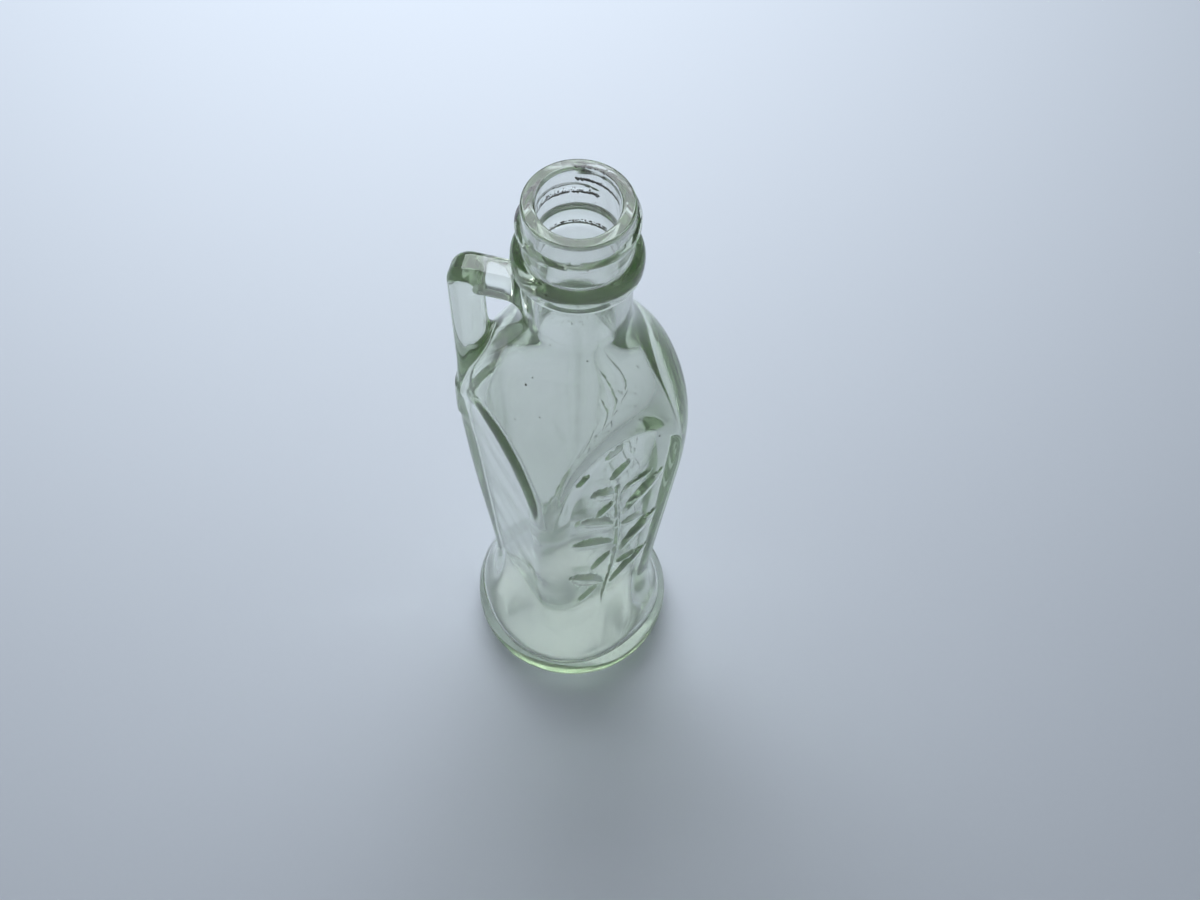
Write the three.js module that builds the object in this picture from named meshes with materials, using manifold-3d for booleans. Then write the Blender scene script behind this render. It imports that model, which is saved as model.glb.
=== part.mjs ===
// Small oil bottle of pale green moulded glass, one piece: round foot, four-sided waist,
// round shoulder, narrow neck with a screw finish, and a solid glass handle.
// Millimetres, +Z up, origin at the centre of the base, handle towards -X.
import * as THREE from "three";
import { mergeVertices } from "three/addons/utils/BufferGeometryUtils.js";
import Module from "manifold-3d";

// Heights up the bottle
const HEIGHT = 192.5;
const HEEL_HEIGHT = 7.5;
const WAIST_HEIGHT = 36;
const SHOULDER_START = 108;
const SHOULDER_END = 156;
const COLLAR_BOTTOM = 171.8;
const COLLAR_WIDEST = 175;
const COLLAR_TOP = 178.3;

// Radii of the round form
const BASE_RADIUS = 23;
const FOOT_RADIUS = 28.5;
const BODY_RADIUS = 28.9;
const NECK_RADIUS = 12.8;
const COLLAR_RADIUS = 15;
const COLLAR_STEP = 1.2;
const FINISH_RADIUS = 12.45;
const LIP_ROUNDING = 0.7;
const SHOULDER_PULL_LOW = 138.6;
const SHOULDER_PULL_HIGH = 139.5;

// Four flats, each turned 45 degrees from the handle, that make the waist square. Below the waist they
// flare out and their corners open until the foot is round. Above it the two on the handle side bow out.
const FLAT_AT_BASE = 16.1;
const FLAT_TAPER = 0.064;
const FLAT_FLARE = 20.5;
const FLAT_CORNER_RADIUS = 7.4;
const CORNER_FLARE = 31.4;
const HANDLE_SIDE_BOW = 0.0009;
const BOW_START = 86;
const FLAT_ANGLE = Math.PI / 4;

// Hollow inside
const FLOOR_HEIGHT = 6;
const FLOOR_ROUNDING = 5;
const WALL = 5.2;
const FLAT_WALL = 4.8;
const FOOT_THINNING = 3.4;
const BORE_RADIUS = 9.2;
const BORE_ROUNDING = 0.7;
const INSIDE_CORNER_RADIUS = 4;
const INSIDE_DROP = 3.5;

// Screw thread, right-handed, falling clockwise from its start at the back
const THREAD_TOP = 188.7;
const THREAD_PITCH = 4.2;
const THREAD_START_ANGLE = THREE.MathUtils.degToRad(110);
const THREAD_TURNS = 1.1;
const THREAD_RADIUS = 13.75;
const THREAD_FOOT_WIDTH = 2.4;
const THREAD_CREST_WIDTH = 1;
const THREAD_FADE = 0.08;
const THREAD_ROOT = 1;
const THREAD_SUNK = 0.2;

// Handle: a bent bar from inside the neck wall, out and down into the shoulder
const HANDLE_ROOT = 9.5;
const HANDLE_TOP = 163.9;
const HANDLE_OUT = 30.6;
const HANDLE_CORNER = 5.5;
const HANDLE_LAND = 106;
const HANDLE_LEAN = 1.2;
const HANDLE_WIDTH = 9;
const HANDLE_THICKNESS = 7.7;
const HANDLE_EDGE = 3;

// Rib on the corner below the handle
const TAIL_TOP = 116;
const TAIL_BULGE = 80;
const TAIL_BULGE_OUT = 30.2;
const TAIL_END = 36;
const TAIL_END_OUT = 22.5;
const TAIL_END_WIDTH = 4;
const TAIL_DEPTH = 6;
const TAIL_SQUARENESS = 0.7;

// Olive sprig in relief on the two flats away from the handle
const RELIEF = 0.8;
const RELIEF_ROOT = 0.6;
const RELIEF_EDGE = 0.36;
const RELIEF_CROWN = 0.55;
const LEAF_FULLNESS = 0.75;
const OLIVE_FULLNESS = 0.5;
const STEM_LOW = 30;
const STEM_HIGH = 108;
const STEM_WIDTH = 1.3;
const STEM_RELIEF = 0.5;
const STEM_SWAY = 1.2;
// Leaves: side of the stem, height on the stem, slope in degrees, length, width
const LEAVES = [
  { side: -1, at: 46, slope: 55, length: 20, width: 5.4 },
  { side: 1, at: 43, slope: 56, length: 20, width: 5.4 },
  { side: -1, at: 72, slope: 42, length: 18, width: 5.4 },
  { side: 1, at: 63, slope: 60, length: 21, width: 5.8 },
  { side: -1, at: 83, slope: 50, length: 19, width: 7 },
  { side: 1, at: 87, slope: 58, length: 21, width: 6 },
  { side: 1, at: 102, slope: 34, length: 11, width: 4.4 },
  { side: -1, at: 102, slope: 55, length: 11, width: 5.4 },
];
// Olives: offset from the stem, height of the middle, slope in degrees, length, width
const OLIVES = [
  { out: -5.6, at: 43.8, slope: 45, length: 8, width: 4.2 },
  { out: 4.6, at: 56.7, slope: 15, length: 6, width: 4.4 },
  { out: -4.4, at: 63.3, slope: 49, length: 8, width: 4.4 },
  { out: 4.6, at: 81.4, slope: -7, length: 7, width: 5 },
  { out: -3.4, at: 96.8, slope: 47, length: 6.4, width: 3.8 },
  { out: 0, at: 116, slope: 56, length: 8, width: 4.6 },
  { out: -11.4, at: 120.5, slope: 57, length: 5, width: 3.6 },
  { out: -3.4, at: 127.4, slope: 32, length: 5.6, width: 4 },
];

// Fineness of the curves
const OUTER_SIDES = 56;
const INNER_SIDES = 36;
const ARC_STEPS = 4;
const CORNER_STEPS = 6;
const SHOULDER_STEPS = 12;
const SLIVER = 0.004;
const SAME_POINT = 0.0001;

const wasm = await Module();
wasm.setup();

// Closed geometry as a solid that can be joined and cut
function solidOf(geometry) {
  const bare = geometry.clone();
  bare.deleteAttribute("normal");
  bare.deleteAttribute("uv");
  const merged = mergeVertices(bare, SAME_POINT);
  const index = merged.index.array;
  const triangles = [];
  for (let i = 0; i < index.length; i += 3) {
    const [a, b, c] = [index[i], index[i + 1], index[i + 2]];
    if (a !== b && b !== c && c !== a) triangles.push(a, b, c);
  }
  const mesh = new wasm.Mesh({
    numProp: 3,
    vertProperties: new Float32Array(merged.attributes.position.array),
    triVerts: new Uint32Array(triangles),
  });
  return new wasm.Manifold(mesh);
}

function geometryOf(solid) {
  const mesh = solid.getMesh();
  const geometry = new THREE.BufferGeometry();
  geometry.setAttribute("position", new THREE.BufferAttribute(mesh.vertProperties, 3));
  geometry.setIndex(new THREE.BufferAttribute(mesh.triVerts, 1));
  geometry.computeVertexNormals();
  return geometry;
}

// Profile of radius and height, turned round the Z axis
function turned(profile, sides) {
  return solidOf(new THREE.LatheGeometry(profile, sides).rotateX(Math.PI / 2));
}

// Skin over a row of rings with equal numbers of points, each end closed by a fan. Rings that run
// the other way round are taken from last to first, so that the skin always faces out.
function lofted(rings) {
  const count = rings[0].length;
  const middleOf = (ring) => ring.reduce((sum, p) => sum.add(p), new THREE.Vector3()).divideScalar(count);
  const points = [...rings.flat(), middleOf(rings[0]), middleOf(rings.at(-1))];
  const firstMiddle = points.length - 2;
  const lastMiddle = points.length - 1;
  const lastRing = (rings.length - 1) * count;
  const index = [];
  for (let i = 0; i < count; i++) {
    const next = (i + 1) % count;
    for (let row = 0; row < lastRing; row += count) {
      index.push(row + i, row + next, row + count + next);
      index.push(row + i, row + count + next, row + count + i);
    }
    index.push(firstMiddle, next, i);
    index.push(lastMiddle, lastRing + i, lastRing + next);
  }
  const solid = solidOf(new THREE.BufferGeometry().setFromPoints(points).setIndex(index));
  return solid.volume() > 0 ? solid : lofted(rings.toReversed());
}

// Quarter of an ellipse from one profile point to another, upright at the first point or at the second
function roundedCorner(from, to, uprightFirst) {
  const points = [];
  for (let i = 0; i <= ARC_STEPS; i++) {
    const angle = ((Math.PI / 2) * i) / ARC_STEPS;
    const out = uprightFirst ? 1 - Math.cos(angle) : Math.sin(angle);
    const up = uprightFirst ? Math.sin(angle) : 1 - Math.cos(angle);
    points.push(new THREE.Vector2(from.x + (to.x - from.x) * out, from.y + (to.y - from.y) * up));
  }
  return points;
}

// S-shaped shoulder line from the body to the neck
function shoulder(bodyRadius, neckRadius, drop) {
  const curve = new THREE.CubicBezierCurve(
    new THREE.Vector2(bodyRadius, SHOULDER_START - drop),
    new THREE.Vector2(bodyRadius, SHOULDER_PULL_LOW - drop),
    new THREE.Vector2(neckRadius, SHOULDER_PULL_HIGH - drop),
    new THREE.Vector2(neckRadius, SHOULDER_END - drop),
  );
  return curve.getPoints(SHOULDER_STEPS);
}

function outerRound() {
  const at = (radius, height) => new THREE.Vector2(radius, height);
  const lipStart = HEIGHT - LIP_ROUNDING;
  const profile = [
    at(0, 0),
    ...roundedCorner(at(BASE_RADIUS, 0), at(FOOT_RADIUS, HEEL_HEIGHT), false),
    at(FOOT_RADIUS, 2 * HEEL_HEIGHT),
    ...shoulder(BODY_RADIUS, NECK_RADIUS, 0),
    at(NECK_RADIUS, COLLAR_BOTTOM),
    ...roundedCorner(at(NECK_RADIUS + COLLAR_STEP, COLLAR_BOTTOM), at(COLLAR_RADIUS, COLLAR_WIDEST), false),
    ...roundedCorner(at(COLLAR_RADIUS, COLLAR_WIDEST), at(FINISH_RADIUS, COLLAR_TOP), true).slice(1),
    ...roundedCorner(at(FINISH_RADIUS, lipStart), at(FINISH_RADIUS - LIP_ROUNDING, HEIGHT), true),
    at(0, HEIGHT),
  ];
  return turned(profile, OUTER_SIDES);
}

function innerRound() {
  const at = (radius, height) => new THREE.Vector2(radius, height);
  const wide = BODY_RADIUS - WALL;
  const floorEnd = FLOOR_HEIGHT + FLOOR_ROUNDING;
  const footWide = wide + FOOT_THINNING * belowWaist(floorEnd);
  const above = 1;
  const profile = [
    at(0, FLOOR_HEIGHT),
    ...roundedCorner(at(footWide - FLOOR_ROUNDING, FLOOR_HEIGHT), at(footWide, floorEnd), false),
    ...shoulder(wide, BORE_RADIUS, INSIDE_DROP),
    ...roundedCorner(at(BORE_RADIUS, HEIGHT - BORE_ROUNDING), at(BORE_RADIUS + BORE_ROUNDING, HEIGHT), true),
    at(BORE_RADIUS + BORE_ROUNDING, HEIGHT + above),
    at(0, HEIGHT + above),
  ];
  return turned(profile, INNER_SIDES);
}

// Ring of a square with rounded corners, its corners towards the axes and its middle moved to the handle side
function squareRing(flat, cornerRadius, height, aside) {
  const ring = [];
  const centre = flat - cornerRadius;
  for (let corner = 0; corner < 4; corner++) {
    for (let i = 0; i <= CORNER_STEPS; i++) {
      const turn = (Math.PI / 2) * (i / CORNER_STEPS);
      const x = centre + cornerRadius * Math.cos(turn);
      const y = centre + cornerRadius * Math.sin(turn);
      const point = new THREE.Vector3(x, y, height);
      point.applyAxisAngle(new THREE.Vector3(0, 0, 1), corner * (Math.PI / 2) - FLAT_ANGLE);
      ring.push(point.setX(point.x - Math.SQRT2 * aside));
    }
  }
  return ring;
}

// How far a height is on the way from the waist down to the base, squared
function belowWaist(height) {
  return Math.max(0, 1 - height / WAIST_HEIGHT) ** 2;
}

// Distance of a flat away from the handle from the axis: a straight taper that flares out into the foot
function flatAt(height) {
  return FLAT_AT_BASE + FLAT_TAPER * height + FLAT_FLARE * belowWaist(height);
}

// Four-sided column, taller than the bottle and wider than its neck, that trims the round form. The wall
// set back from the flats may thin out towards the base.
function column(wall, waistCorner, thinning) {
  const flareStep = 4;
  const bowStep = 10;
  const heights = [];
  for (let height = -flareStep; height < WAIST_HEIGHT; height += flareStep) heights.push(height);
  for (let height = WAIST_HEIGHT; height < SHOULDER_END; height += bowStep) heights.push(height);
  heights.push(SHOULDER_END, 2 * HEIGHT);
  const rings = heights.map((height) => {
    const spread = belowWaist(height);
    const aside = (HANDLE_SIDE_BOW * Math.max(0, height - BOW_START) ** 2) / 2;
    const flat = flatAt(height) - wall + thinning * spread + aside;
    const corner = Math.min(flat, waistCorner + (CORNER_FLARE + thinning) * spread);
    return squareRing(flat, corner, height, aside);
  });
  return lofted(rings);
}

// Helical ridge whose height fades to nothing at both ends
function thread() {
  const steps = 44;
  const root = FINISH_RADIUS - THREAD_ROOT;
  const rings = [];
  for (let i = 0; i <= steps; i++) {
    const along = i / steps;
    const angle = THREAD_START_ANGLE - 2 * Math.PI * THREAD_TURNS * along;
    const middle = THREAD_TOP - THREAD_PITCH * THREAD_TURNS * along;
    const rise = Math.min(1, along / THREAD_FADE, (1 - along) / THREAD_FADE);
    const crest = THREE.MathUtils.lerp(FINISH_RADIUS - THREAD_SUNK, THREAD_RADIUS, rise);
    const section = [
      [root, -THREAD_FOOT_WIDTH / 2],
      [root, THREAD_FOOT_WIDTH / 2],
      [crest, THREAD_CREST_WIDTH / 2],
      [crest, -THREAD_CREST_WIDTH / 2],
    ];
    rings.push(
      section.map(([r, up]) => new THREE.Vector3(r * Math.cos(angle), r * Math.sin(angle), middle + up)),
    );
  }
  return lofted(rings);
}

// Bent bar with rounded edges, its outline drawn in radius and height
function handleBar() {
  const outside = HANDLE_OUT;
  const inside = HANDLE_OUT - HANDLE_THICKNESS;
  const under = HANDLE_TOP - HANDLE_THICKNESS;
  const outline = new THREE.Shape();
  outline.moveTo(HANDLE_ROOT, under);
  outline.lineTo(HANDLE_ROOT, HANDLE_TOP);
  outline.lineTo(outside - HANDLE_CORNER, HANDLE_TOP);
  outline.absarc(outside - HANDLE_CORNER, HANDLE_TOP - HANDLE_CORNER, HANDLE_CORNER, Math.PI / 2, 0, true);
  outline.lineTo(outside - HANDLE_LEAN, HANDLE_LAND);
  outline.lineTo(inside - HANDLE_LEAN, HANDLE_LAND);
  outline.lineTo(inside, under);
  outline.closePath();
  const bar = new THREE.ExtrudeGeometry(outline, {
    depth: HANDLE_WIDTH - 2 * HANDLE_EDGE,
    bevelThickness: HANDLE_EDGE,
    bevelSize: HANDLE_EDGE,
    bevelOffset: -HANDLE_EDGE,
    bevelSegments: 3,
    curveSegments: 5,
  });
  bar.translate(0, 0, HANDLE_EDGE - HANDLE_WIDTH / 2);
  return solidOf(bar.rotateX(Math.PI / 2).rotateZ(Math.PI));
}

// Rib that carries the handle's line down the corner below it and dies away above the waist
function handleTail() {
  const steps = 6;
  const sides = 12;
  const squared = (value) => Math.sign(value) * Math.abs(value) ** TAIL_SQUARENESS;
  const crest = new THREE.QuadraticBezierCurve(
    new THREE.Vector2(HANDLE_OUT - HANDLE_LEAN, TAIL_TOP),
    new THREE.Vector2(TAIL_BULGE_OUT, TAIL_BULGE),
    new THREE.Vector2(TAIL_END_OUT, TAIL_END),
  );
  const rings = crest.getPoints(steps).map((top, step) => {
    const wide = THREE.MathUtils.lerp(HANDLE_WIDTH, TAIL_END_WIDTH, step / steps);
    const ring = [];
    for (let i = 0; i < sides; i++) {
      const angle = (2 * Math.PI * i) / sides;
      const radius = top.x - (TAIL_DEPTH / 2) * (1 - squared(Math.cos(angle)));
      ring.push(new THREE.Vector3(-radius, squared(Math.sin(angle)) * (wide / 2), top.y));
    }
    return ring;
  });
  return lofted(rings);
}

// Raised shape on a flat: its outline is buried below the glass and drawn in towards a domed top
function raised(outline, placeOnFlat) {
  const middle = outline.reduce((sum, p) => sum.add(p), new THREE.Vector2()).divideScalar(outline.length);
  const level = (shrink, depth) =>
    outline.map((p) => {
      const q = p.clone().lerp(middle, shrink);
      return placeOnFlat(q.x, q.y, depth);
    });
  return lofted([level(0, -RELIEF_ROOT), level(0, RELIEF_EDGE), level(1 - RELIEF_CROWN, RELIEF)]);
}

// Pointed oval from a start point, along a slope
function leafOutline(start, slope, length, width, fullness) {
  const steps = 5;
  const sides = [];
  for (let i = 0; i < 2 * steps; i++) {
    const onBack = i > steps;
    const along = (onBack ? 2 * steps - i : i) / steps;
    const half = (width / 2) * Math.sin(Math.PI * along) ** fullness;
    const point = new THREE.Vector2(along * length, onBack ? half : -half);
    sides.push(point.rotateAround(new THREE.Vector2(), slope).add(start));
  }
  return sides;
}

function stemAt(height) {
  return -STEM_SWAY * Math.cos((2 * Math.PI * (height - STEM_LOW)) / (STEM_HIGH - STEM_LOW));
}

// Stem of the sprig: a low ridge with a flat crest that follows the sway
function stem(placeOnFlat) {
  const steps = 8;
  const rings = [];
  for (let i = 0; i <= steps; i++) {
    const height = THREE.MathUtils.lerp(STEM_LOW, STEM_HIGH, i / steps);
    const middle = stemAt(height);
    rings.push([
      placeOnFlat(middle - STEM_WIDTH / 2, height, -RELIEF_ROOT),
      placeOnFlat(middle + STEM_WIDTH / 2, height, -RELIEF_ROOT),
      placeOnFlat(middle + STEM_WIDTH / 4, height, STEM_RELIEF),
      placeOnFlat(middle - STEM_WIDTH / 4, height, STEM_RELIEF),
    ]);
  }
  return lofted(rings);
}

// Solids of one sprig on the flat that faces the given angle
function sprig(facing, mirror) {
  const out = new THREE.Vector3(Math.cos(facing), Math.sin(facing), 0);
  const across = new THREE.Vector3(-out.y, out.x, 0).multiplyScalar(mirror);
  const placeOnFlat = (u, height, depth) => {
    const point = across.clone().multiplyScalar(u);
    point.addScaledVector(out, flatAt(height) + depth);
    return point.setZ(height);
  };
  const outlines = [];
  for (const leaf of LEAVES) {
    const slope = THREE.MathUtils.degToRad(leaf.side > 0 ? leaf.slope : 180 - leaf.slope);
    const start = new THREE.Vector2(stemAt(leaf.at) + leaf.side * STEM_WIDTH, leaf.at);
    outlines.push(leafOutline(start, slope, leaf.length, leaf.width, LEAF_FULLNESS));
  }
  for (const olive of OLIVES) {
    const slope = THREE.MathUtils.degToRad(olive.slope);
    const half = new THREE.Vector2(olive.length / 2, 0).rotateAround(new THREE.Vector2(), slope);
    const start = new THREE.Vector2(stemAt(olive.at) + olive.out, olive.at).sub(half);
    outlines.push(leafOutline(start, slope, olive.length, olive.width, OLIVE_FULLNESS));
  }
  return [stem(placeOnFlat), ...outlines.map((outline) => raised(outline, placeOnFlat))];
}

function bottleGeometry() {
  let glass = outerRound().intersect(column(0, FLAT_CORNER_RADIUS, 0));
  const sprigs = [...sprig(-FLAT_ANGLE, 1), ...sprig(FLAT_ANGLE, -1)];
  for (const piece of [thread(), handleBar(), handleTail(), ...sprigs]) glass = glass.add(piece);
  const hollow = innerRound().intersect(column(FLAT_WALL, INSIDE_CORNER_RADIUS, FOOT_THINNING));
  return geometryOf(glass.subtract(hollow).simplify(SLIVER));
}

const glassMaterial = new THREE.MeshStandardMaterial({
  color: 0xb9cdbb,
  roughness: 0.06,
  metalness: 0,
  transparent: true,
  opacity: 0.4,
});

const bottle = new THREE.Mesh(bottleGeometry(), glassMaterial);
bottle.name = "bottle";

const oilBottle = new THREE.Group();
oilBottle.add(bottle);

export default oilBottle;
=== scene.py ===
"""Small oil bottle of pale green moulded glass, dressed for a studio picture.

The glass is one closed skin, inside and out. It is worked out from the named sizes below as a field that
is negative inside the glass, and a mesh is laid where that field is nought. Sizes are in millimetres, with
the origin at the centre of the base, +Z up and the handle towards -X.
"""
import math

import bpy
import numpy as np
from mathutils import Matrix, Vector


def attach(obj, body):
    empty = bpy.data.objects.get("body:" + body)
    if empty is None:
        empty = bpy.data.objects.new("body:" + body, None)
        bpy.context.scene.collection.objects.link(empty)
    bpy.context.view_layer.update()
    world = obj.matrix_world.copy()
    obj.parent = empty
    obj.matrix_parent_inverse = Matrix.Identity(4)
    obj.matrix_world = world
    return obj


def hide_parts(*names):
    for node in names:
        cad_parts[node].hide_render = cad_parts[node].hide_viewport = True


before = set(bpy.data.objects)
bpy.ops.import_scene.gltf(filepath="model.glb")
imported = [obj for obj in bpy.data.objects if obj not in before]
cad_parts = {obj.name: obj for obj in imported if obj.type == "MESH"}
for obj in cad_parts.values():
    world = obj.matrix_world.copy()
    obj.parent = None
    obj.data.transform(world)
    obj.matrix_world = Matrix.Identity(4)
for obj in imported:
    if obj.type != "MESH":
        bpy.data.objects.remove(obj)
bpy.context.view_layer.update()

MM = 0.001
SQRT2 = math.sqrt(2)

# Heights up the bottle
HEIGHT = 192.5
HEEL_HEIGHT = 7.5
FOOT_TOP = 15
WAIST_HEIGHT = 36
SHOULDER_START = 108
SHOULDER_END = 156
COLLAR_BOTTOM = 171.8
COLLAR_TOP = 178.3

# Radii of the round form
FOOT_RADIUS = 28.5
HEEL_ROUNDING = 5.5
BODY_RADIUS = 28.9
NECK_RADIUS = 12.8
COLLAR_RADIUS = 15
FINISH_RADIUS = 12.45
LIP_ROUNDING = 0.7
SHOULDER_PULL_LOW = 138.6
SHOULDER_PULL_HIGH = 139.5
COLLAR_UNDER = (1.4, 2.2)
COLLAR_OVER = (2.3, 3.3)

# Four flats, each turned 45 degrees from the handle, that make the waist square
FLAT_AT_BASE = 16.1
FLAT_TAPER = 0.064
FLAT_FLARE = 20.5
FLAT_CORNER_RADIUS = 7.4
CORNER_FLARE = 31.4
HANDLE_SIDE_BOW = 0.0009
BOW_START = 86

# Hollow inside
FLOOR_HEIGHT = 6
FLOOR_ROUNDING = 5
WALL = 5.2
FLAT_WALL = 4.8
FOOT_THINNING = 3.4
BORE_RADIUS = 9.2
INSIDE_CORNER_RADIUS = 4
INSIDE_DROP = 3.5
RIPPLE_DEPTH = 0.04
# Ripples of the inner wall: wave length, turn round the axis, tilt and shift in radians
RIPPLES = [
    (11, 0.3, 0.9, 0.4),
    (14, 1.9, 1.1, 2.1),
    (9, 2.6, 0.5, 4.0),
    (17, 1.1, -0.8, 1.2),
    (12.5, 0.7, -0.4, 5.1),
]

# Screw thread, right-handed, falling clockwise from its start at the back
THREAD_TOP = 188.7
THREAD_PITCH = 4.2
THREAD_START_ANGLE = math.radians(110)
THREAD_TURNS = 1.1
THREAD_RADIUS = 13.75
THREAD_FOOT_WIDTH = 2.4
THREAD_CREST_WIDTH = 1
THREAD_FADE = 0.08

# Handle: a bent bar from inside the neck wall, out and down into the shoulder
HANDLE_ROOT = 9.5
HANDLE_TOP = 163.9
HANDLE_OUT = 30.6
HANDLE_CORNER = 5.5
HANDLE_INSIDE_CORNER = 1.6
HANDLE_LAND = 106
HANDLE_LEAN = 1.2
HANDLE_WIDTH = 9
HANDLE_THICKNESS = 7.7
HANDLE_EDGE = 3

# Rib on the corner below the handle
TAIL_TOP = 116
TAIL_BULGE = 80
TAIL_BULGE_OUT = 30.2
TAIL_END = 36
TAIL_END_OUT = 22.5
TAIL_END_WIDTH = 4
TAIL_EDGE = 2.4

# Olive sprig in relief on the two flats away from the handle
RELIEF = 0.8
BACK_RELIEF = 0.3
LEAF_FULLNESS = 0.75
OLIVE_FULLNESS = 0.5
CROWN = 2
STEM_LOW = 30
STEM_HIGH = 108
STEM_WIDTH = 1.3
STEM_RELIEF = 0.5
STEM_SWAY = 1.2
# Leaves: side of the stem, height on the stem, slope in degrees, length, width
LEAVES = [
    (-1, 46, 55, 20, 5.4),
    (1, 43, 56, 20, 5.4),
    (-1, 72, 42, 18, 5.4),
    (1, 63, 60, 21, 5.8),
    (-1, 83, 50, 19, 7),
    (1, 87, 58, 21, 6),
    (1, 102, 34, 11, 4.4),
    (-1, 102, 55, 11, 5.4),
]
# Olives: offset from the stem, height of the middle, slope in degrees, length, width
OLIVES = [
    (-5.6, 43.8, 45, 8, 4.2),
    (4.6, 56.7, 15, 6, 4.4),
    (-4.4, 63.3, 49, 8, 4.4),
    (4.6, 81.4, -7, 7, 5),
    (-3.4, 96.8, 47, 6.4, 3.8),
    (0, 116, 56, 8, 4.6),
    (-11.4, 120.5, 57, 5, 3.6),
    (-3.4, 127.4, 32, 5.6, 4),
]

# Soft edges of moulded glass, the inside's softer towards the back
ARCH_BLEND = 0.6
HANDLE_BLEND = 4
COLLAR_BLEND = 0.9
INSIDE_BLEND = 0.5
BACK_BLEND = 11
BACK_BLEND_POWER = 1.5
BORE_BLEND = 0.8

# Grid that the skin is found on: bands of start, end and step
ANGLE_BANDS = [(-83, -7, 1.5), (-7, 7, 2.8), (7, 83, 2.4), (83, 154, 3), (154, 206, 1.7), (206, 277, 3)]
HEIGHT_BANDS = [
    (-0.45, 8, 0.8),
    (8, 27.6, 2),
    (27.6, 132, 1),
    (132, 152, 1.5),
    (152, 168, 1),
    (168, 194, 0.55),
]
RADIUS_BANDS = [(0, 8.4, 2.8), (8.4, 15.4, 0.5), (15.4, 33, 1)]

# Steps along curves and fields, and how points settle on the skin
CURVE_SAMPLES = 2000
LINE_STEP = 0.05
FIELD_STEP = 0.01
SETTLE_ROUNDS = 3
SETTLE_LIMIT = 0.4
TINY = 0.01

# Glass
GLASS_IOR = 1.52
GLASS_TINT = (0.66, 0.78, 0.55)
GLASS_DENSITY = 34
GLASS_CLEARNESS = 0.95
GLASS_ROUGHNESS = (0.0, 0.05)
HAZE = "haze"
INSIDE_HAZE = 0.03
HAZE_REACH = 0.2
PEEL_SCALE = 160
PEEL_DETAIL = 2
PEEL_DEPTH = 0.00002
PEEL_STRENGTH = 1

# Dark flakes on the glass: painted shade along the creases under the thread and round the collar, and real
# dust
SHADE_AND_DUST_SEED = 7
SHADE_AND_DUST_COLOURS = ((0.035, 0.03, 0.026, 1), (0.12, 0.1, 0.08, 1))
SHADE_AND_DUST_SCALE = 900
SHADE_AND_DUST_ROUGHNESS = 0.9
FLAKE_SIDES = 6
FLAKE_RAISED = 0.25
FLAKE_REACH = (0.5, 1)
FLAKE_SIZE_POWER = 2
SPREAD_DEVIATIONS = 2
# Patches: first and last angle in degrees, height at each, spread, number, smallest and largest flake; the
# first six are lines of painted shade in the creases, the last is scattered dust
CREASE_SHADE_AND_DUST = [
    (107, 40, 187.5, 186.6, 0.4, 300, 0.2, 0.5),
    (190, 78, 184.5, 183, 0.4, 360, 0.2, 0.5),
    (165, 40, 172.1, 172.1, 0.3, 360, 0.2, 0.5),
    (160, 40, 179.4, 179.4, 0.9, 220, 0.06, 0.22),
    (-118, -40, 167, 167, 2.6, 90, 0.06, 0.2),
    (-150, -30, 180, 180, 1.2, 60, 0.06, 0.2),
    (-135, -20, 140, 140, 14, 26, 0.06, 0.16),
]
# Single specks: angle in degrees, height, size
SPECKS = [
    (-118, 142, 0.42),
    (-115, 144, 0.3),
    (-65, 152, 0.38),
    (-104, 156, 0.25),
    (-115, 134, 0.25),
    (-100, 137, 0.28),
    (-23, 124, 0.45),
    (-104, 177, 0.4),
    (-30, 178, 0.3),
]

# Camera, fitted to the photograph
CAMERA_AZIMUTH = math.radians(11.5)
CAMERA_ELEVATION = math.radians(59.4)
CAMERA_DISTANCE = 423.91
CAMERA_ASIDE = 6.81
CAMERA_AIM_HEIGHT = 90.9
CAMERA_ROLL = math.radians(2.56)
CAMERA_LENS = 48

# Floor and light
FLOOR_SIZE = 6000
FLOOR_GAP = 0.1
FLOOR_COLOUR = (0.62, 0.66, 0.72, 1)
FLOOR_ROUGHNESS = 0.6
WORLD_COLOUR = (0.86, 0.92, 0.98, 1)
WORLD_STRENGTH = 0.2
# Lights: name, place, aim, width, height, power in watts
LIGHTS = [
    ("window", (-200, 450, 500), (-222, 440, 0), 700, 500, 4.7),
]
LIGHT_COLOUR = (0.93, 0.985, 1.05)
LIGHT_BOUNCES = 32


# Fields: each is negative inside its form and grows by about a millimetre for each millimetre outward


def smooth_max(a, b, blend):
    """Where both forms are, with their shared edge rounded off."""
    near = np.maximum(blend - np.abs(a - b), 0)
    return np.maximum(a, b) + near**2 / (4 * blend)


def smooth_min(a, b, blend):
    """Either form, with a fillet where they meet."""
    return -smooth_max(-a, -b, blend)


def rounded_edge(a, b, reach_a, reach_b):
    """Where both forms are, with their shared edge a quarter of an ellipse."""
    u = a / reach_a + 1
    v = b / reach_b + 1
    corner = np.hypot(np.maximum(u, 0), np.maximum(v, 0)) + np.minimum(np.maximum(u, v), 0) - 1
    return corner * min(reach_a, reach_b)


def cubic(t, p0, p1, p2, p3):
    """Place along a curve pulled by two points between its ends."""
    return (1 - t) ** 3 * p0 + 3 * (1 - t) ** 2 * t * p1 + 3 * (1 - t) * t**2 * p2 + t**3 * p3


def quadratic(t, p0, p1, p2):
    """Place along a curve pulled by one point between its ends."""
    return (1 - t) ** 2 * p0 + 2 * (1 - t) * t * p1 + t**2 * p2


def shoulder_line(body_radius, neck_radius, drop):
    """Heights and radii of the S-shaped line from the body to the neck."""
    t = np.linspace(0, 1, CURVE_SAMPLES)
    heights = cubic(t, SHOULDER_START, SHOULDER_PULL_LOW, SHOULDER_PULL_HIGH, SHOULDER_END) - drop
    return heights, cubic(t, body_radius, body_radius, neck_radius, neck_radius)


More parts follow.
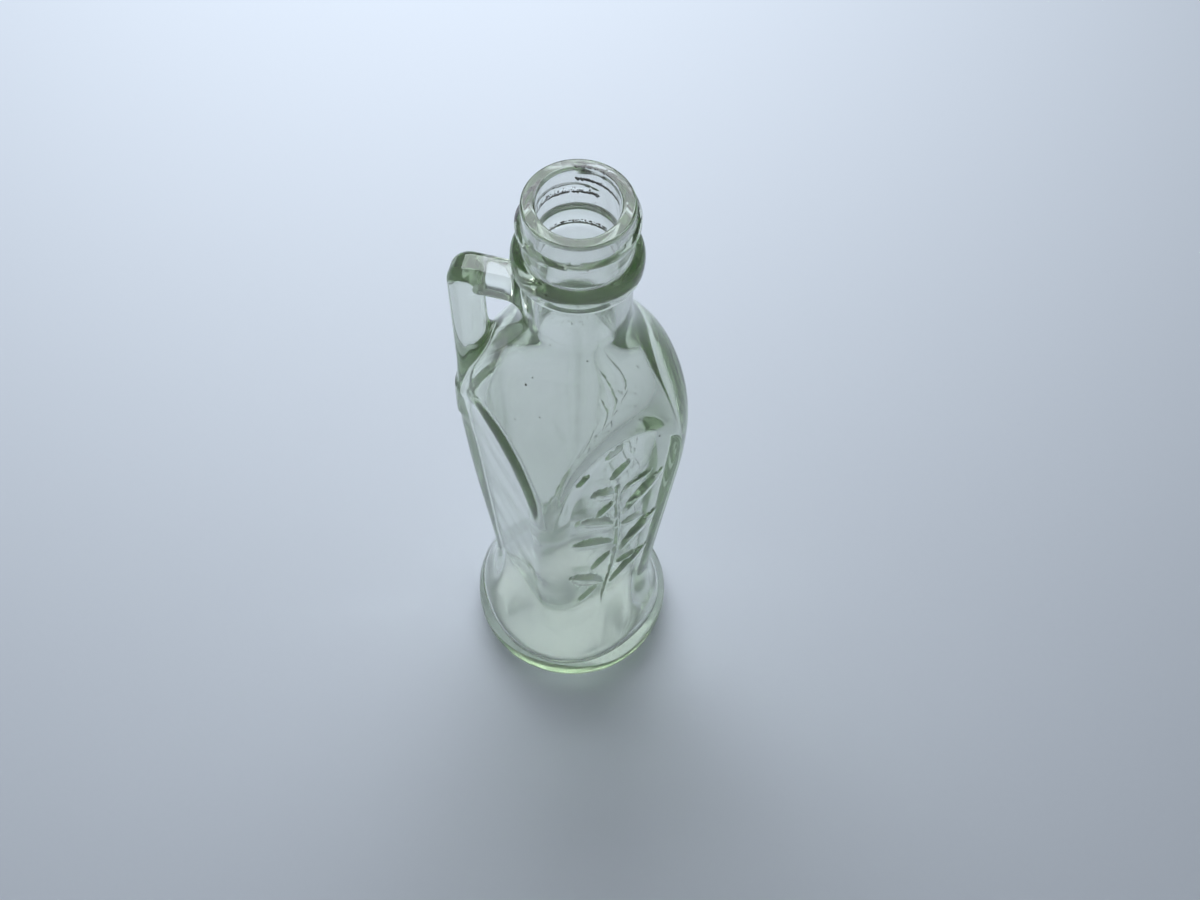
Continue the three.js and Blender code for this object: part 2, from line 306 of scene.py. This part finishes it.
def outer_line():
    """Heights and radii of the round form, from the foot to the finish."""
    heights, radii = shoulder_line(BODY_RADIUS, NECK_RADIUS, 0)
    middle = (COLLAR_BOTTOM + COLLAR_TOP) / 2
    heights = np.concatenate([[FOOT_TOP], heights, [middle, COLLAR_TOP]])
    radii = np.concatenate([[FOOT_RADIUS], radii, [NECK_RADIUS, FINISH_RADIUS]])
    return heights, radii


OUTER_LINE = outer_line()
INNER_LINE = shoulder_line(BODY_RADIUS - WALL, BORE_RADIUS, INSIDE_DROP)


def beside(line, r, z):
    """Distance out from a turned line of heights and radii."""
    radius = np.interp(z, *line)
    slope = (np.interp(z + LINE_STEP, *line) - np.interp(z - LINE_STEP, *line)) / (2 * LINE_STEP)
    return (r - radius) / np.sqrt(1 + slope**2)


def below_waist(z):
    """How far a height is on the way from the waist down to the base, squared."""
    return np.maximum(0, 1 - z / WAIST_HEIGHT) ** 2


def flat_at(z):
    """Distance of a flat from the axis: a straight taper that flares out into the foot."""
    return FLAT_AT_BASE + FLAT_TAPER * z + FLAT_FLARE * below_waist(z)


def column(x, y, z, wall, corner_radius):
    """Four-sided column with rounded corners towards the axes, which turns round below the waist.

    The two flats on the handle's side bow out higher up.
    """
    half_bow = HANDLE_SIDE_BOW * np.maximum(0, z - BOW_START) ** 2 / 2
    flat = flat_at(z) - wall + half_bow
    radius = np.minimum(flat, corner_radius + CORNER_FLARE * below_waist(z))
    a = np.abs((x + y) / SQRT2 + half_bow) - flat + radius
    b = np.abs((x - y) / SQRT2 + half_bow) - flat + radius
    beyond = np.hypot(np.maximum(a, 0), np.maximum(b, 0))
    return beyond + np.minimum(np.maximum(a, b), 0) - radius


def stem_at(z):
    """Place of the swaying stem across its flat."""
    return -STEM_SWAY * np.cos(2 * math.pi * (z - STEM_LOW) / (STEM_HIGH - STEM_LOW))


def raised_oval(u, z, start, slope, length, width, fullness):
    """Height of a domed pointed oval that runs from a start point along a slope."""
    du = u - start[0]
    dz = z - start[1]
    along = np.clip((du * math.cos(slope) + dz * math.sin(slope)) / length, 0, 1)
    across = np.abs(dz * math.cos(slope) - du * math.sin(slope))
    swell = np.sin(math.pi * along) ** fullness
    offset = np.minimum(across / np.maximum(swell * width / 2, TINY), 1)
    return RELIEF * np.sqrt(swell) * (1 - offset**CROWN)


def sprig(u, z):
    """Height of the olive sprig's relief on a flat, by place across it and height."""
    ends = np.clip(np.minimum(z - STEM_LOW, STEM_HIGH - z) / STEM_WIDTH, 0, 1)
    offset = np.minimum(np.abs(u - stem_at(z)) / (STEM_WIDTH / 2), 1)
    height = STEM_RELIEF * ends * (1 - offset**CROWN)
    for side, at, degrees, length, width in LEAVES:
        slope = math.radians(degrees if side > 0 else 180 - degrees)
        start = (stem_at(at) + side * STEM_WIDTH, at)
        height = np.maximum(height, raised_oval(u, z, start, slope, length, width, LEAF_FULLNESS))
    for out, at, degrees, length, width in OLIVES:
        slope = math.radians(degrees)
        start = (
            stem_at(at) + out - math.cos(slope) * length / 2,
            at - math.sin(slope) * length / 2,
        )
        height = np.maximum(height, raised_oval(u, z, start, slope, length, width, OLIVE_FULLNESS))
    return height


def relief(x, y, z):
    """Relief of the two sprigs, one the mirror image of the other."""
    a = (x + y) / SQRT2
    b = (x - y) / SQRT2
    facing_front = b > np.abs(a)
    facing_back = a > np.abs(b)
    height = np.zeros(x.shape)
    for facing, across, share in ((facing_front, a, 1), (facing_back, b, BACK_RELIEF)):
        height[facing] = share * sprig(across[facing], z[facing])
    return height


def thread(x, y, z):
    """Height of the screw thread on the finish."""
    first = np.mod(THREAD_START_ANGLE - np.arctan2(y, x), 2 * math.pi) / (2 * math.pi)
    height = np.zeros(x.shape)
    for turn in range(math.ceil(THREAD_TURNS)):
        along = first + turn
        fade = np.minimum(along, THREAD_TURNS - along) / THREAD_FADE / THREAD_TURNS
        offset = np.abs(z - THREAD_TOP + THREAD_PITCH * along)
        flank = (THREAD_FOOT_WIDTH / 2 - offset) / ((THREAD_FOOT_WIDTH - THREAD_CREST_WIDTH) / 2)
        rise = np.clip(flank, 0, 1) * np.clip(fade, 0, 1)
        height = np.maximum(height, rise * rise * (3 - 2 * rise))
    return (THREAD_RADIUS - FINISH_RADIUS) * height


def collar(r, z):
    """Ring below the finish, with a softer edge above than below."""
    under = rounded_edge(r - COLLAR_RADIUS, COLLAR_BOTTOM - z, *COLLAR_UNDER)
    over = rounded_edge(r - COLLAR_RADIUS, z - COLLAR_TOP, *COLLAR_OVER)
    return np.maximum(under, over)


def handle(x, y, z):
    """Bent bar with rounded edges, from the neck out and down into the shoulder."""
    out = -x
    lean = HANDLE_LEAN * (HANDLE_TOP - z) / (HANDLE_TOP - HANDLE_LAND)
    outer = rounded_edge(out + lean - HANDLE_OUT, z - HANDLE_TOP, HANDLE_CORNER, HANDLE_CORNER)
    gap = rounded_edge(
        out + lean - HANDLE_OUT + HANDLE_THICKNESS,
        z - HANDLE_TOP + HANDLE_THICKNESS,
        HANDLE_INSIDE_CORNER,
        HANDLE_INSIDE_CORNER,
    )
    bar = np.maximum(outer, -gap)
    bar = np.maximum(bar, np.maximum(HANDLE_LAND - z, HANDLE_ROOT - out))
    return rounded_edge(bar, np.abs(y) - HANDLE_WIDTH / 2, HANDLE_EDGE, HANDLE_EDGE)


def tail_line():
    """Heights and reach of the rib's crest, from its lower end up."""
    t = np.linspace(1, 0, CURVE_SAMPLES)
    heights = quadratic(t, TAIL_TOP, TAIL_BULGE, TAIL_END)
    return heights, quadratic(t, HANDLE_OUT - HANDLE_LEAN, TAIL_BULGE_OUT, TAIL_END_OUT)


TAIL_LINE = tail_line()


def tail(x, y, z):
    """Rib that carries the handle's line down the corner below it and dies away above the waist."""
    along = (TAIL_TOP - z) / (TAIL_TOP - TAIL_END)
    width = HANDLE_WIDTH + (TAIL_END_WIDTH - HANDLE_WIDTH) * np.clip(along, 0, 1)
    crest = rounded_edge(-x - np.interp(z, *TAIL_LINE), np.abs(y) - width / 2, TAIL_EDGE, TAIL_EDGE)
    ends = np.maximum(TAIL_END - z, z - TAIL_TOP)
    return np.maximum(crest, np.maximum(ends, HANDLE_ROOT + x))


def outside(x, y, z, r):
    """The bottle as if it were solid."""
    side = beside(OUTER_LINE, r, z) - thread(x, y, z)
    turned = rounded_edge(side, z - HEIGHT, LIP_ROUNDING, LIP_ROUNDING)
    turned = rounded_edge(turned, -z, HEEL_ROUNDING, HEEL_HEIGHT)
    turned = smooth_min(turned, collar(r, z), COLLAR_BLEND)
    square = column(x, y, z, 0, FLAT_CORNER_RADIUS) - relief(x, y, z)
    body = smooth_max(turned, square, ARCH_BLEND)
    grip = smooth_min(handle(x, y, z), tail(x, y, z), HANDLE_BLEND)
    return smooth_min(body, grip, HANDLE_BLEND)


def ripple(x, y, z):
    """Gentle unevenness of the blown inner wall, from a few waves across each other."""
    waves = np.zeros(x.shape)
    for length, turn, tilt, shift in RIPPLES:
        across = x * math.cos(turn) + y * math.sin(turn)
        waves += np.sin(2 * math.pi * (across * math.cos(tilt) + z * math.sin(tilt)) / length + shift)
    return RIPPLE_DEPTH * waves / len(RIPPLES)


def hollow(x, y, z, r):
    """The room for the oil, open at the top."""
    towards_back = np.maximum(0, 1 + (x + y) / np.maximum(SQRT2 * r, TINY)) / 2
    blend = INSIDE_BLEND + BACK_BLEND * towards_back**BACK_BLEND_POWER
    square = column(x, y, z, FLAT_WALL, INSIDE_CORNER_RADIUS)
    room = smooth_max(beside(INNER_LINE, r, z), square, blend)
    room += ripple(x, y, z) - FOOT_THINNING * below_waist(z)
    return rounded_edge(room, FLOOR_HEIGHT - z, FLOOR_ROUNDING, FLOOR_ROUNDING)


def glass(x, y, z):
    """The bottle's glass: the solid less the room inside it."""
    r = np.hypot(x, y)
    return smooth_max(outside(x, y, z, r), -hollow(x, y, z, r), BORE_BLEND)


# Skin of a field, on a grid of angles, heights and radii round the axis


def graded(bands):
    """Grid lines over bands of start, end and step."""
    parts = [np.linspace(a, b, round((b - a) / step), endpoint=False) for a, b, step in bands]
    return np.concatenate(parts)


def crossing_means(corners):
    """Mean place, within each cell, of the points where the skin cuts the cell's twelve edges."""
    total = np.zeros((corners.shape[-1], 3))
    hits = np.zeros(corners.shape[-1])
    for axis in range(3):
        for first in range(2):
            for second in range(2):
                start = [first, second]
                start.insert(axis, 0)
                end = list(start)
                end[axis] = 1
                a = corners[tuple(start)]
                b = corners[tuple(end)]
                cut = (a < 0) != (b < 0)
                place = np.tile(np.array(start, float), (len(a), 1))
                place[:, axis] = a / np.where(cut, a - b, 1)
                total += place * cut[:, None]
                hits += cut
    return total / hits[:, None]


def net_faces(inside, number):
    """One quad round each grid edge that the skin cuts, facing out of the form."""
    faces = []
    for axis in range(3):
        cut = inside != np.roll(inside, -1, axis)
        if axis > 0:
            cut[(slice(None),) * axis + (-1,)] = False
        edges = np.argwhere(cut)
        ring = []
        for first, second in ((0, 0), (-1, 0), (-1, -1), (0, -1)):
            cell = edges.copy()
            cell[:, (axis + 1) % 3] += first
            cell[:, (axis + 2) % 3] += second
            on_axis = cell[:, 2] < 0
            index = number[cell[:, 0] % number.shape[0], cell[:, 1], cell[:, 2]]
            ring.append(np.where(on_axis, -1, index))
        quads = np.stack(ring, 1)
        leaving = inside[tuple(edges.T)]
        quads[~leaving] = quads[~leaving][:, ::-1]
        faces.append(quads[(quads >= 0).all(1)])
    return np.concatenate(faces)


def axis_fans(inside, number, heights, count):
    """Triangles that close the skin where it crosses the axis, and the heights of their middles."""
    fans = []
    middles = []
    for row in np.flatnonzero(inside[0, 1:, 0] != inside[0, :-1, 0]):
        ring = number[:, row, 0]
        ahead = np.roll(ring, -1)
        middle = np.full(len(ring), count + len(middles))
        upward = inside[0, row, 0]
        fans.append(np.stack([ring, ahead, middle] if upward else [ahead, ring, middle], 1))
        middles.append((heights[row] + heights[row + 1]) / 2)
    return np.concatenate(fans), np.array(middles)


def field_slope(points):
    """Direction in which the field grows at each point."""
    slope = np.zeros(points.shape)
    for axis in range(3):
        nudge = np.zeros(3)
        nudge[axis] = FIELD_STEP
        slope[:, axis] = glass(*(points + nudge).T) - glass(*(points - nudge).T)
    return slope / (2 * FIELD_STEP)


def settled(points):
    """Points moved along the field's slope until they lie on the skin."""
    for _ in range(SETTLE_ROUNDS):
        slope = field_slope(points)
        steepness = np.maximum((slope**2).sum(1), TINY)
        step = np.clip(glass(*points.T) / steepness, -SETTLE_LIMIT, SETTLE_LIMIT)
        points = points - step[:, None] * slope
    return points


def cut_cells(field):
    """Numbers of the grid cells that the skin cuts, -1 for the rest, and the skin's mean place in each."""
    wrapped = np.concatenate([field, field[:1]])
    sides = (slice(0, -1), slice(1, None))
    corners = np.empty((2, 2, 2), object)
    for i, j, k in np.ndindex(2, 2, 2):
        corners[i, j, k] = wrapped[sides[i], sides[j], sides[k]]
    filled = sum(corner < 0 for corner in corners.flat)
    cells = np.argwhere((filled > 0) & (filled < corners.size))
    number = np.full(filled.shape, -1)
    number[tuple(cells.T)] = np.arange(len(cells))
    values = np.stack([corner[tuple(cells.T)] for corner in corners.flat])
    return number, cells + crossing_means(values.reshape(2, 2, 2, -1))


def glass_skin():
    """Points and faces of the bottle's skin."""
    angles = np.radians(graded(ANGLE_BANDS))
    heights = graded(HEIGHT_BANDS)
    radii = graded(RADIUS_BANDS)
    z, r = np.meshgrid(heights, radii, indexing="ij")
    field = np.stack([glass(r * math.cos(angle), r * math.sin(angle), z) for angle in angles])
    inside = field < 0
    number, place = cut_cells(field)
    whole_turn = np.append(angles, angles[0] + 2 * math.pi)
    angle = np.interp(place[:, 0], np.arange(len(whole_turn)), whole_turn)
    height = np.interp(place[:, 1], np.arange(len(heights)), heights)
    radius = np.interp(place[:, 2], np.arange(len(radii)), radii)
    points = np.stack([radius * np.cos(angle), radius * np.sin(angle), height], 1)
    fans, middles = axis_fans(inside, number, heights, len(points))
    on_axis = np.zeros((len(middles), 3))
    on_axis[:, 2] = middles
    points = settled(np.concatenate([points, on_axis]))
    return points, net_faces(inside, number).tolist() + fans.tolist()


# Pieces


def make_object(name, points, faces, material):
    """Smooth-shaded piece from points in millimetres."""
    mesh = bpy.data.meshes.new(name)
    mesh.from_pydata(np.asarray(points) * MM, [], faces)
    mesh.polygons.foreach_set("use_smooth", np.ones(len(mesh.polygons), bool))
    mesh.materials.append(material)
    piece = bpy.data.objects.new(name, mesh)
    bpy.context.scene.collection.objects.link(piece)
    return piece


def new_material(name):
    """Material with its nodes, its links and its main shader."""
    material = bpy.data.materials.new(name)
    material.use_nodes = True
    nodes = material.node_tree.nodes
    shader = next(node for node in nodes if node.type == "BSDF_PRINCIPLED")
    return material, nodes, material.node_tree.links, shader


def add_peel(nodes, links, shader):
    """Faint mould texture on the surface of the glass."""
    place = nodes.new("ShaderNodeTexCoord")
    peel = nodes.new("ShaderNodeTexNoise")
    peel.inputs["Scale"].default_value = PEEL_SCALE
    peel.inputs["Detail"].default_value = PEEL_DETAIL
    links.new(place.outputs["Object"], peel.inputs["Vector"])
    bump = nodes.new("ShaderNodeBump")
    bump.inputs["Strength"].default_value = PEEL_STRENGTH
    bump.inputs["Distance"].default_value = PEEL_DEPTH
    links.new(peel.outputs["Fac"], bump.inputs["Height"])
    links.new(bump.outputs["Normal"], shader.inputs["Normal"])
    return peel


def add_haze(nodes, links, shader, peel):
    """Roughness that follows the mould texture, with more of it on the inner wall."""
    haze = nodes.new("ShaderNodeMapRange")
    haze.inputs["To Min"].default_value = GLASS_ROUGHNESS[0]
    haze.inputs["To Max"].default_value = GLASS_ROUGHNESS[1]
    links.new(peel.outputs["Fac"], haze.inputs["Value"])
    inner = nodes.new("ShaderNodeAttribute")
    inner.attribute_name = HAZE
    total = nodes.new("ShaderNodeMath")
    total.operation = "ADD"
    links.new(haze.outputs["Result"], total.inputs[0])
    links.new(inner.outputs["Fac"], total.inputs[1])
    links.new(total.outputs["Value"], shader.inputs["Roughness"])


def add_tint(nodes, links):
    """Colour that deepens with the thickness of the glass."""
    tint = nodes.new("ShaderNodeVolumeAbsorption")
    tint.inputs["Color"].default_value = (*GLASS_TINT, 1)
    tint.inputs["Density"].default_value = GLASS_DENSITY
    output = next(node for node in nodes if node.type == "OUTPUT_MATERIAL")
    links.new(tint.outputs["Volume"], output.inputs["Volume"])


def glass_material():
    """Pale green glass: clear, tinted by its thickness, with a faint mould texture."""
    material, nodes, links, shader = new_material("green_glass")
    shader.inputs["Base Color"].default_value = (1, 1, 1, 1)
    shader.inputs["Transmission Weight"].default_value = GLASS_CLEARNESS
    shader.inputs["IOR"].default_value = GLASS_IOR
    peel = add_peel(nodes, links, shader)
    add_haze(nodes, links, shader, peel)
    add_tint(nodes, links)
    return material


def make_bottle():
    """The whole glass skin, in place of the CAD bottle, with haze on its inner wall."""
    points, faces = glass_skin()
    bottle = make_object("glass_bottle", points, faces, glass_material())
    bottle.data.normals_split_custom_set_from_vertices(field_slope(points))
    haze = bottle.data.attributes.new(HAZE, "FLOAT", "POINT")
    x, y, z = points.T
    inner = np.abs(hollow(x, y, z, np.hypot(x, y))) < HAZE_REACH
    haze.data.foreach_set("value", np.where(inner, INSIDE_HAZE, 0).astype(np.float32))
    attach(bottle, "root")
    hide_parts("bottle")


def outer_places(angles, heights):
    """Points on the outer skin at angles and heights."""
    radii = graded(RADIUS_BANDS)
    x = np.cos(angles)[:, None] * radii
    y = np.sin(angles)[:, None] * radii
    z = np.repeat(heights[:, None], len(radii), 1)
    within = outside(x, y, z, np.hypot(x, y)) < 0
    r = radii[len(radii) - 1 - np.argmax(within[:, ::-1], 1)]
    return settled(np.stack([r * np.cos(angles), r * np.sin(angles), heights], 1))


def scattered_flakes(rng):
    """Angles, heights and sizes of the dark flakes: dust specks, and lines of painted shade along the
    creases.
    """
    flakes = [np.array(SPECKS)]
    for first, last, start, end, spread, count, smallest, largest in CREASE_SHADE_AND_DUST:
        along = rng.random(count)
        height = start + (end - start) * along + spread * rng.normal(size=count) / SPREAD_DEVIATIONS
        size = smallest + (largest - smallest) * rng.random(count) ** FLAKE_SIZE_POWER
        flakes.append(np.stack([first + (last - first) * along, height, size], 1))
    return np.concatenate(flakes).T


def shade_and_dust_material():
    """Dark colour of the flakes, painted shade in the creases and dust elsewhere, browner in some flakes
    than in others.
    """
    material, nodes, links, shader = new_material("dust_and_painted_shade")
    place = nodes.new("ShaderNodeTexCoord")
    mottle = nodes.new("ShaderNodeTexNoise")
    mottle.inputs["Scale"].default_value = SHADE_AND_DUST_SCALE
    links.new(place.outputs["Object"], mottle.inputs["Vector"])
    blend = nodes.new("ShaderNodeMix")
    blend.data_type = "RGBA"
    blend.inputs["A"].default_value = SHADE_AND_DUST_COLOURS[0]
    blend.inputs["B"].default_value = SHADE_AND_DUST_COLOURS[1]
    links.new(mottle.outputs["Fac"], blend.inputs["Factor"])
    links.new(blend.outputs["Result"], shader.inputs["Base Color"])
    shader.inputs["Roughness"].default_value = SHADE_AND_DUST_ROUGHNESS
    return material


def skin_directions(points):
    """Directions out of the skin, level along it and up along it, at each point."""
    outward = field_slope(points)
    outward /= np.linalg.norm(outward, axis=1)[:, None]
    level = np.cross(outward, (0, 0, 1))
    level /= np.linalg.norm(level, axis=1)[:, None]
    return outward, level, np.cross(level, outward)


def make_shade_and_dust():
    """Low dark flakes, painted shade along the creases under the thread and round the collar and dust
    elsewhere, each a closed lozenge half sunk in the glass.
    """
    rng = np.random.default_rng(SHADE_AND_DUST_SEED)
    degrees, heights, sizes = scattered_flakes(rng)
    middles = outer_places(np.radians(degrees), heights)
    points = []
    faces = []
    for middle, out, level, up, size in zip(middles, *skin_directions(middles), sizes):
        top = len(points)
        bottom = top + 1
        rim = bottom + 1
        rise = out * size * FLAKE_RAISED
        points += [middle + rise, middle - rise]
        for side in range(FLAKE_SIDES):
            turn = 2 * math.pi * side / FLAKE_SIDES
            reach = size * rng.uniform(*FLAKE_REACH)
            points.append(middle + reach * (level * math.cos(turn) + up * math.sin(turn)))
            here = rim + side
            ahead = rim + (side + 1) % FLAKE_SIDES
            faces += [(top, ahead, here), (bottom, here, ahead)]
    dust_and_painted_shade = make_object("dust_and_painted_shade", points, faces, shade_and_dust_material())
    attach(dust_and_painted_shade, "root")


# Stage, light and camera


def make_floor():
    """Plain pale floor just under the bottle."""
    material, _, _, shader = new_material("pale_floor")
    shader.inputs["Base Color"].default_value = FLOOR_COLOUR
    shader.inputs["Roughness"].default_value = FLOOR_ROUGHNESS
    half = FLOOR_SIZE / 2
    corners = ((-half, -half), (half, -half), (half, half), (-half, half))
    points = [(x, y, -FLOOR_GAP) for x, y in corners]
    floor = make_object("floor", points, [(0, 1, 2, 3)], material)


def make_lights():
    """Soft rectangular lights, each turned to its aim."""
    for name, place, aim, width, height, power in LIGHTS:
        lamp = bpy.data.lights.new(name, "AREA")
        lamp.shape = "RECTANGLE"
        lamp.size = width * MM
        lamp.size_y = height * MM
        lamp.energy = power
        lamp.color = LIGHT_COLOUR
        light = bpy.data.objects.new(name, lamp)
        light.location = Vector(place) * MM
        light.rotation_euler = (Vector(place) - Vector(aim)).to_track_quat("Z", "Y").to_euler()
        bpy.context.scene.collection.objects.link(light)


def make_world():
    """Even pale light from all round, and enough bounces for light to cross the glass."""
    world = bpy.data.worlds.new("studio")
    world.use_nodes = True
    background = world.node_tree.nodes["Background"]
    background.inputs["Color"].default_value = WORLD_COLOUR
    background.inputs["Strength"].default_value = WORLD_STRENGTH
    scene = bpy.context.scene
    scene.world = world
    scene.view_settings.view_transform = "Standard"
    scene.cycles.max_bounces = LIGHT_BOUNCES
    scene.cycles.transmission_bounces = LIGHT_BOUNCES
    scene.cycles.glossy_bounces = LIGHT_BOUNCES
    scene.cycles.blur_glossy = 0


def make_camera():
    """Camera that looks down on the bottle, a little rolled, as the photograph does."""
    right = Vector((math.cos(CAMERA_AZIMUTH), math.sin(CAMERA_AZIMUTH), 0))
    back = Vector((math.sin(CAMERA_AZIMUTH), -math.cos(CAMERA_AZIMUTH), 0)) * math.cos(CAMERA_ELEVATION)
    back.z = math.sin(CAMERA_ELEVATION)
    place = right * CAMERA_ASIDE + Vector((0, 0, CAMERA_AIM_HEIGHT)) + back * CAMERA_DISTANCE
    turn = Matrix((right, back.cross(right), back)).transposed() @ Matrix.Rotation(CAMERA_ROLL, 3, "Z")
    data = bpy.data.cameras.new("camera")
    data.lens = CAMERA_LENS
    camera = bpy.data.objects.new("camera", data)
    camera.matrix_world = Matrix.Translation(place * MM) @ turn.to_4x4()
    bpy.context.scene.collection.objects.link(camera)
    bpy.context.scene.camera = camera


make_camera()
make_bottle()
make_shade_and_dust()
make_floor()
make_lights()
make_world()
